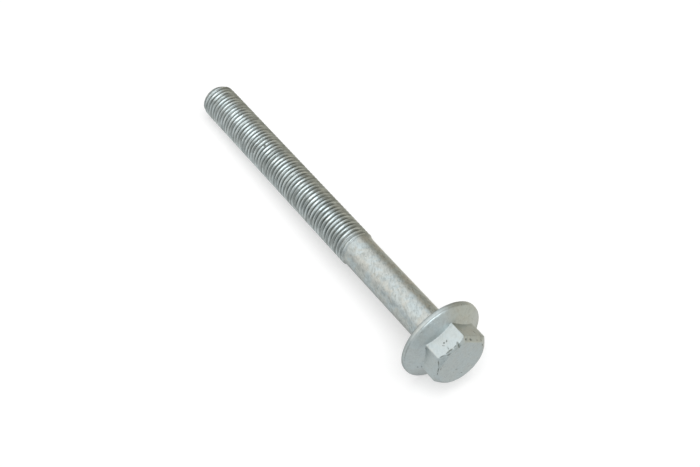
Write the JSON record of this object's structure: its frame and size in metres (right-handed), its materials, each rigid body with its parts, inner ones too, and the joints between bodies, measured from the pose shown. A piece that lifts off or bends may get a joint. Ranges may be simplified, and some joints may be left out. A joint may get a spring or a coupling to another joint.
{
  "type": "hex flange bolt",
  "caption": "Long hex flange bolt: hexagon head with a conical flange, a slightly reduced plain shank and a long thread, bright zinc plated.",
  "frame": {"origin": "centre of the bearing face under the flange", "axes": "+Z along the shank towards the threaded tip; the bolt stands on the top of its head. The hexagon has two flats square to Y."},
  "size_m": [0.0274, 0.0274, 0.1387],
  "materials": {
    "zinc_plated_steel": "bright zinc plate, satin and slightly mottled, with small handling marks"
  },
  "bodies": {
    "root": {"hex_flange_bolt": "zinc_plated_steel"}
  },
  "joints": []
}
